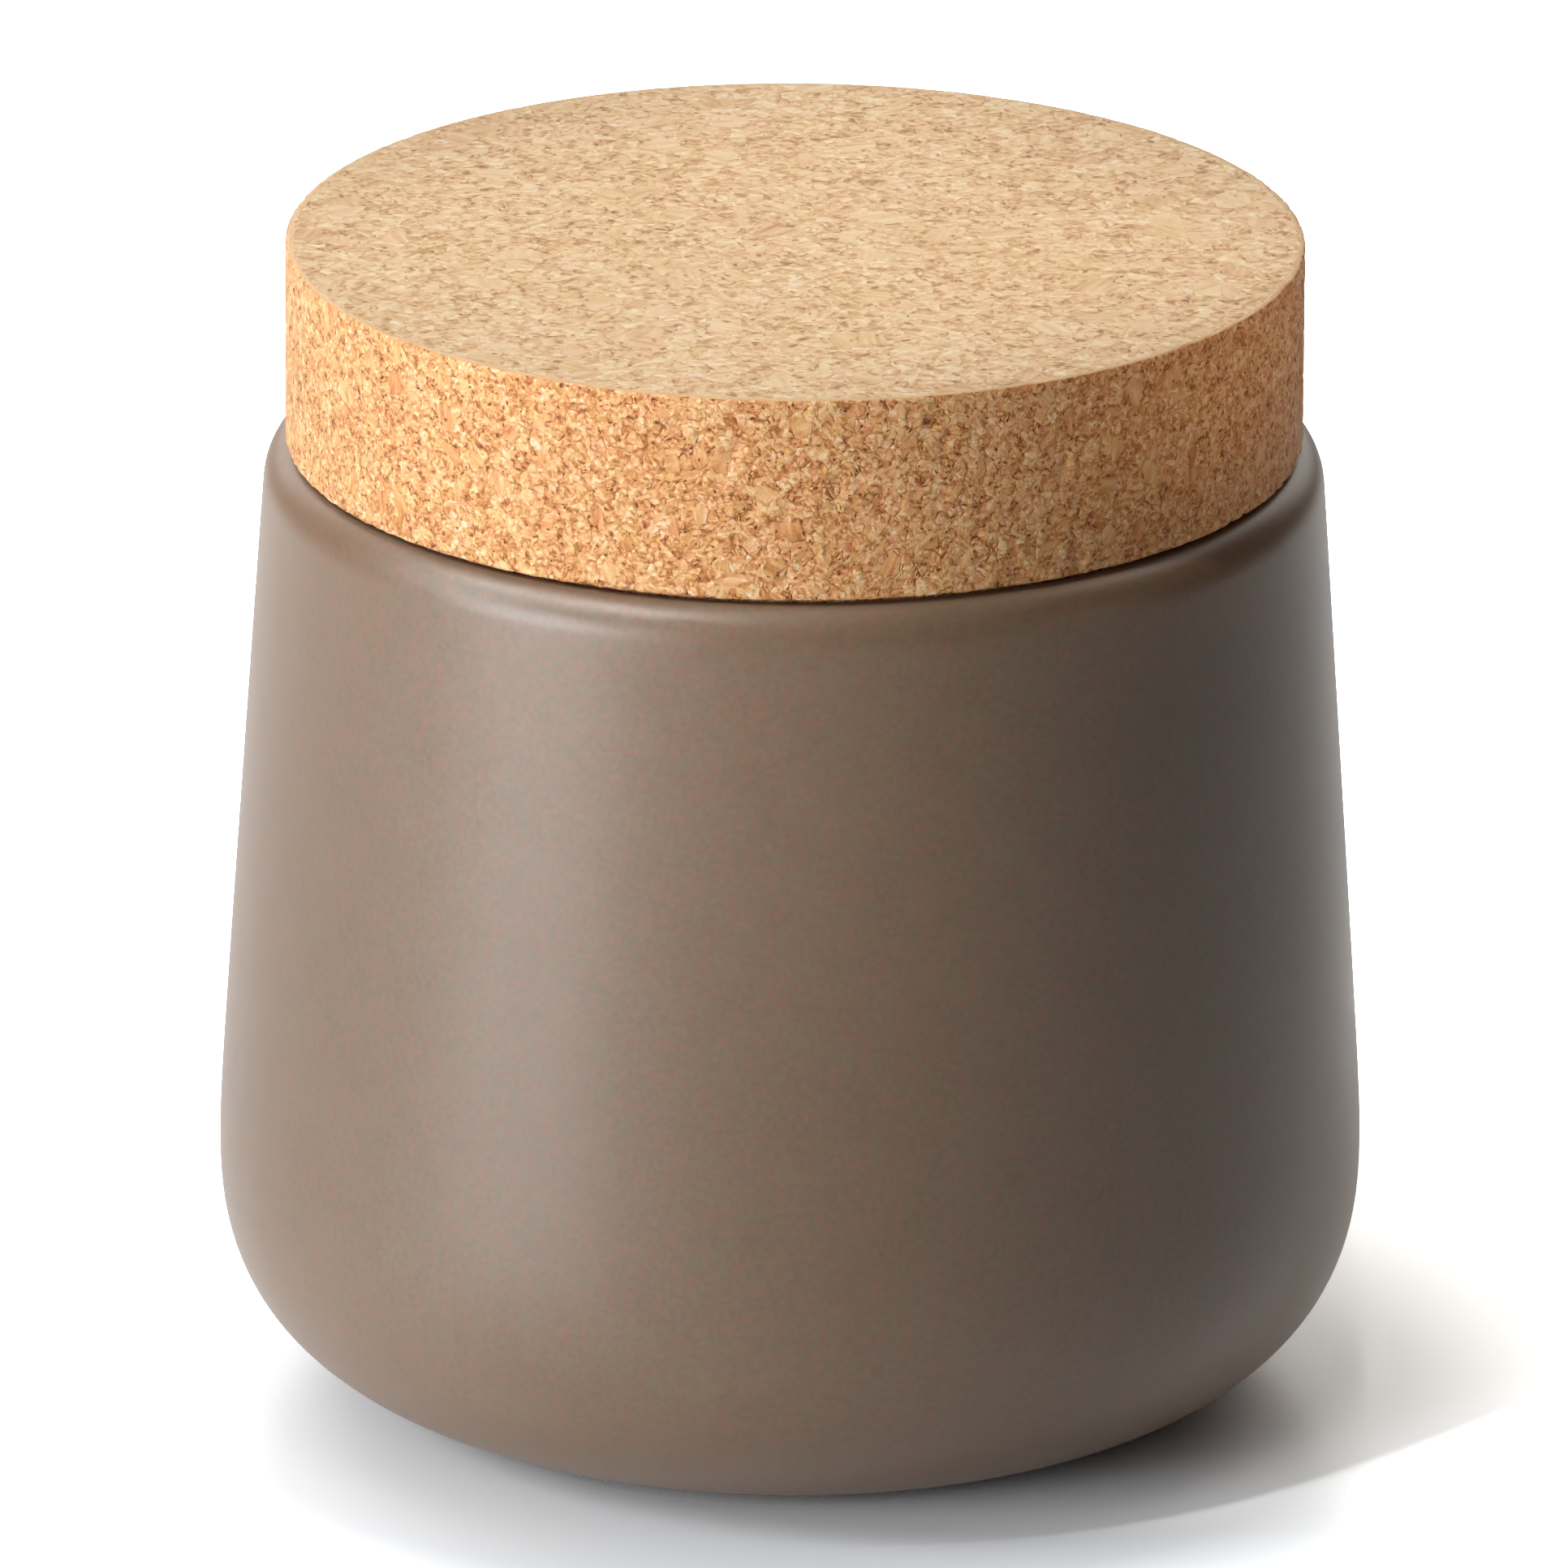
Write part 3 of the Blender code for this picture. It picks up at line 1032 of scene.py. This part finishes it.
@dataclass
class CorkLid:
    """The lid: a thick disc of agglomerated cork over the narrower plug that fits the mouth."""

    top: float
    plug_end: float
    radius: float
    thickness: float = 0.02335  # of the disc, 0.25 mm more than the solid's, towards the seam
    plug_radius: float = 0.0543
    plug_lead: float = 0.0015  # the plug's lower edge is bevelled to find the mouth
    edge_round: float = 0.0003
    granule_depth: float = 0.00012
    chip_depth: float = 0.0003
    divisions: int = 160  # squares along a quarter of the way round
    side_rows: int = 42
    shoulder_rows: int = 5
    plug_rows: int = 14
    edge_rows: int = 3

    def outline(self) -> list[Point]:
        """Find the outline.

        Returns:
            Its points, from the plug's end up to the rim of the lid's top.
        """
        underside = self.top - self.thickness
        edge = self.edge_round
        points = [(self.plug_radius - self.plug_lead, self.plug_end)]
        foot = self.plug_end + self.plug_lead
        for row in range(self.plug_rows + 1):
            points.append((self.plug_radius, foot + (underside - foot) * row / self.plug_rows))
        ledge = self.radius - edge - self.plug_radius
        for row in range(1, self.shoulder_rows):
            points.append((self.plug_radius + ledge * row / self.shoulder_rows, underside))
        quarter = [math.pi / 2 * row / self.edge_rows for row in range(self.edge_rows + 1)]
        points += [
            (self.radius - edge * (1 - math.sin(angle)), underside + edge * (1 - math.cos(angle)))
            for angle in quarter
        ]
        side = self.thickness - 2 * edge
        for row in range(1, self.side_rows):
            points.append((self.radius, underside + edge + side * row / self.side_rows))
        points += [
            (self.radius - edge * (1 - math.cos(angle)), self.top - edge * (1 - math.sin(angle)))
            for angle in quarter
        ]
        return points

    def build(self, body: TurnedBody) -> bpy.types.Object:
        """Build, dress and place the lid.

        Args:
            body: What turns the outline into a mesh.

        Returns:
            The lid.
        """
        cork = AgglomeratedCork(body.pattern).make()
        piece = body.make(
            "granulated_cork_lid",
            self.outline(),
            divisions=self.divisions,
            granule_depth=self.granule_depth,
            chip_depth=self.chip_depth,
            wave_depth=0.0,
            finish=cork,
            foot_finish=cork,
            foot_from_row=0,
            foot_to_row=0,
        )
        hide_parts(Node.LID.value)
        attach(piece, Body.LID.value)
        return piece


@dataclass(frozen=True)
class Softbox:
    """A soft lamp aimed at the canister."""

    name: str
    azimuth: float  # in degrees from the front, positive to the right
    elevation: float  # in degrees
    distance: float
    width: float
    height: float
    brightness: float  # of its face without a grid, where 1 shows as white
    tint: str = "#FFFFFF"
    spread: float = 180.0  # in degrees: a small one is a grid that narrows the beam
    aim_height: float = AIM_HEIGHT
    gloss_only: bool = False  # such a lamp gives a highlight and lights nothing

    def build(self) -> bpy.types.Object:
        """Add the lamp to the scene.

        Returns:
            The lamp.
        """
        target = Vector((0.0, 0.0, self.aim_height))
        turn, lift = math.radians(self.azimuth), math.radians(self.elevation)
        back = Vector(
            (math.sin(turn) * math.cos(lift), -math.cos(turn) * math.cos(lift), math.sin(lift))
        )
        light = bpy.data.lights.new(self.name, "AREA")
        light.shape = "RECTANGLE"
        light.size, light.size_y = self.width, self.height
        light.energy = self.brightness * self.width * self.height * math.pi
        light.color = linear(self.tint)[:3]
        light.spread = math.radians(self.spread)
        lamp = bpy.data.objects.new(self.name, light)
        lamp.location = target + back * self.distance
        lamp.rotation_euler = (-back).to_track_quat("-Z", "Y").to_euler()
        lamp.visible_camera = False
        lamp.visible_diffuse = not self.gloss_only
        bpy.context.scene.collection.objects.link(lamp)
        return lamp


@dataclass(frozen=True)
class Studio:
    """The pale floor, the lamps and the camera."""

    lamps: tuple[Softbox, ...] = (
        Softbox("key_front", -46.0, 8.0, 1.5, 0.417, 0.422, 17.4, "#F5FAFF"),
        Softbox("key_side", -62.0, 8.0, 1.5, 0.417, 0.422, 18.0, "#EFF7FF"),
        Softbox("key_feather", -30.0, 8.0, 1.5, 0.417, 0.422, 1.5, "#F5FAFF"),
        Softbox("edge", -78.0, 25.0, 1.5, 0.382, 0.475, 12.0, "#E6F5FF"),
        Softbox("back_left", -160.0, 20.0, 1.5, 1.026, 0.975, 1.9),
        Softbox("back_right", 160.0, 20.0, 1.5, 1.026, 0.975, 1.8, "#FFFBF5"),
        Softbox("high_left", -135.0, 50.0, 1.5, 0.7, 0.8, 1.0),
        Softbox("high_right", 135.0, 50.0, 1.5, 0.7, 0.8, 0.4, "#FFFBF5"),
        Softbox("overhead_strip", 0.0, 88.0, 1.5, 0.06, 1.73, 7.5, "#FFFBF5"),
        Softbox("lid_grid", -50.0, 55.0, 0.6, 0.126, 0.126, 0.68, spread=8.0, aim_height=0.125),
        Softbox("lid_side_grid", 61.0, 5.0, 0.6, 0.06, 0.03, 0.41, "#FFE8D0", spread=6.0, aim_height=0.13),
        Softbox("lip_gloss_left", -86.0, 50.0, 1.5, 0.4, 0.4, 20.0, gloss_only=True),
        Softbox("lip_gloss_right", 112.0, 52.0, 1.5, 0.4, 0.4, 3.0, gloss_only=True),
    )
    floor_span: float = 1.4
    floor_colour: str = "#DBDCDD"
    floor_lift: float = 3.1  # how much paler the floor is seen than it lights the canister
    floor_clearing: tuple[float, float, float] = (0.07, 0.125, 2.6)  # painted light: paler still between two distances
    painted_shade_reach: float = 0.035
    painted_shade_power: float = 0.25  # a higher one darkens the painted shadow under the heel
    floor_roughness: float = 0.28
    floor_refraction: float = 1.5
    surroundings: float = 0.0  # the room's light, which the pale floor and the lamps stand for
    camera_elevation: float = math.radians(19.62)
    camera_distance: float = 2.5
    camera_roll: float = 0.006
    camera_move: Point = (-0.00091, 0.00032)  # to the right and up, in the plane of the picture
    camera_lens: float = 505.93  # in millimetres, as the sensor is
    camera_sensor: float = 36.0

    def seen(self, tree: bpy.types.NodeTree) -> bpy.types.Node:
        """Tell the rays that see the floor as the white background from the others.

        Args:
            tree: The floor's tree.

        Returns:
            A value that is 1 on those rays and 0 on the others.
        """
        rays = add_node(tree, "ShaderNodeLightPath").outputs
        share = rays[Ray.CAMERA.value]
        for ray in (Ray.GLOSSY, Ray.TRANSMISSION):
            share = calculate(tree, "MAXIMUM", share, rays[ray.value])
        return share

    def cleared(self, tree: bpy.types.NodeTree) -> bpy.types.Node:
        """Paint light on the floor away from the canister, so that its shadow fades out before the frame.

        Args:
            tree: The floor's tree.

        Returns:
            The factor, which only the camera sees.
        """
        spot = add_node(tree, "ShaderNodeTexCoord").outputs["Object"]
        reach = combine(tree, "LENGTH", spot)
        near, far, gain = self.floor_clearing
        clearing = remap(tree, reach, (near, far), (1.0, gain))
        camera_ray = add_node(tree, "ShaderNodeLightPath").outputs[Ray.CAMERA.value]
        return blend(tree, camera_ray, 1.0, clearing)

    def floor_board(self) -> bpy.types.Material:
        """Build the floor's material.

        Returns:
            A matt white board with a faint gloss, with a painted shadow where it meets the canister, on
            top of the real one.
        """
        material, tree = new_material("matt_white_board")
        # Painted shadow: the board darkens by how closed in it is near the canister
        open_sky = add_node(tree, "ShaderNodeAmbientOcclusion", {"Distance": self.painted_shade_reach})
        painted_contact_shade = calculate(tree, "POWER", open_sky.outputs["AO"], self.painted_shade_power)
        pale = calculate(tree, "MULTIPLY", painted_contact_shade, self.floor_lift)
        lift = blend(tree, self.seen(tree), 1.0, pale)
        lift = calculate(tree, "MULTIPLY", lift, self.cleared(tree))
        board = linear(self.floor_colour)[:3]
        lifted = scaled(tree, board, lift)
        matt = add_node(tree, "ShaderNodeBsdfDiffuse", {"Color": lifted})
        gloss = add_node(tree, "ShaderNodeBsdfGlossy", {"Roughness": self.floor_roughness})
        share = add_node(tree, "ShaderNodeFresnel", {"IOR": self.floor_refraction})
        shader = add_node(tree, "ShaderNodeMixShader", {0: share, 1: matt, 2: gloss})
        add_node(tree, "ShaderNodeOutputMaterial", {"Surface": shader})
        return material

    def build_lamps(self) -> None:
        """Add every lamp, and the even light of the room."""
        for lamp in self.lamps:
            lamp.build()
            LOG.info("lamp %s", lamp.name)
        world = bpy.data.worlds.new("studio")
        world.use_nodes = True
        tree = world.node_tree
        tree.nodes.clear()
        camera_ray = add_node(tree, "ShaderNodeLightPath").outputs[Ray.CAMERA.value]
        strength = remap(tree, camera_ray, UNIT, (self.surroundings, 1.0))
        glow = add_node(tree, "ShaderNodeBackground", {"Color": linear("#FFFFFF"), "Strength": strength})
        add_node(tree, "ShaderNodeOutputWorld", {"Surface": glow})
        bpy.context.scene.world = world

    def build_floor(self) -> bpy.types.Object:
        """Add the floor, which is white to the camera wherever no shadow falls.

        Returns:
            The floor.
        """
        half = self.floor_span / 2
        mesh = bpy.data.meshes.new("floor")
        corners = [(-half, -half, 0.0), (half, -half, 0.0), (half, half, 0.0), (-half, half, 0.0)]
        mesh.from_pydata(corners, [], [(0, 1, 2, 3)])
        floor = bpy.data.objects.new("floor", mesh)
        bpy.context.scene.collection.objects.link(floor)
        mesh.materials.append(self.floor_board())
        return floor

    def build_camera(self) -> bpy.types.Object:
        """Add the camera where the photograph was taken from.

        Returns:
            The camera.
        """
        lift, roll = self.camera_elevation, self.camera_roll
        ahead = Vector((0.0, math.cos(lift), -math.sin(lift)))
        level = Vector((1.0, 0.0, 0.0))
        upright = Vector((0.0, math.sin(lift), math.cos(lift)))
        right = level * math.cos(roll) + upright * math.sin(roll)
        up = upright * math.cos(roll) - level * math.sin(roll)
        place = Vector((0.0, 0.0, AIM_HEIGHT)) - ahead * self.camera_distance
        place += right * self.camera_move[0] + up * self.camera_move[1]
        data = bpy.data.cameras.new("photographer")
        data.sensor_width, data.lens = self.camera_sensor, self.camera_lens
        camera = bpy.data.objects.new("photographer", data)
        facing = Matrix((right, up, -ahead)).transposed().to_4x4()
        camera.matrix_world = Matrix.Translation(place) @ facing
        bpy.context.scene.collection.objects.link(camera)
        bpy.context.scene.camera = camera
        return camera


def main() -> None:
    """Build the canister around the frame, then the studio, and report each piece."""
    logging.basicConfig(level=logging.INFO, format="%(name)s: %(message)s")
    bpy.context.scene.view_settings.view_transform = "Standard"
    jar_low, jar_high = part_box(Node.JAR.value)
    lid_low, lid_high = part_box(Node.LID.value)
    body = TurnedBody(GranulePattern())
    jar = StonewareJar(height=jar_high.z - SEAM_DEPTH, widest_radius=jar_high.x)
    lid = CorkLid(top=lid_high.z, plug_end=lid_low.z, radius=lid_high.x)
    for part in (jar, lid):
        piece = part.build(body)
        LOG.info("%s: %d faces", piece.name, len(piece.data.polygons))
    studio = Studio()
    studio.build_floor()
    studio.build_lamps()
    studio.build_camera()


if __name__ == "__main__":
    main()
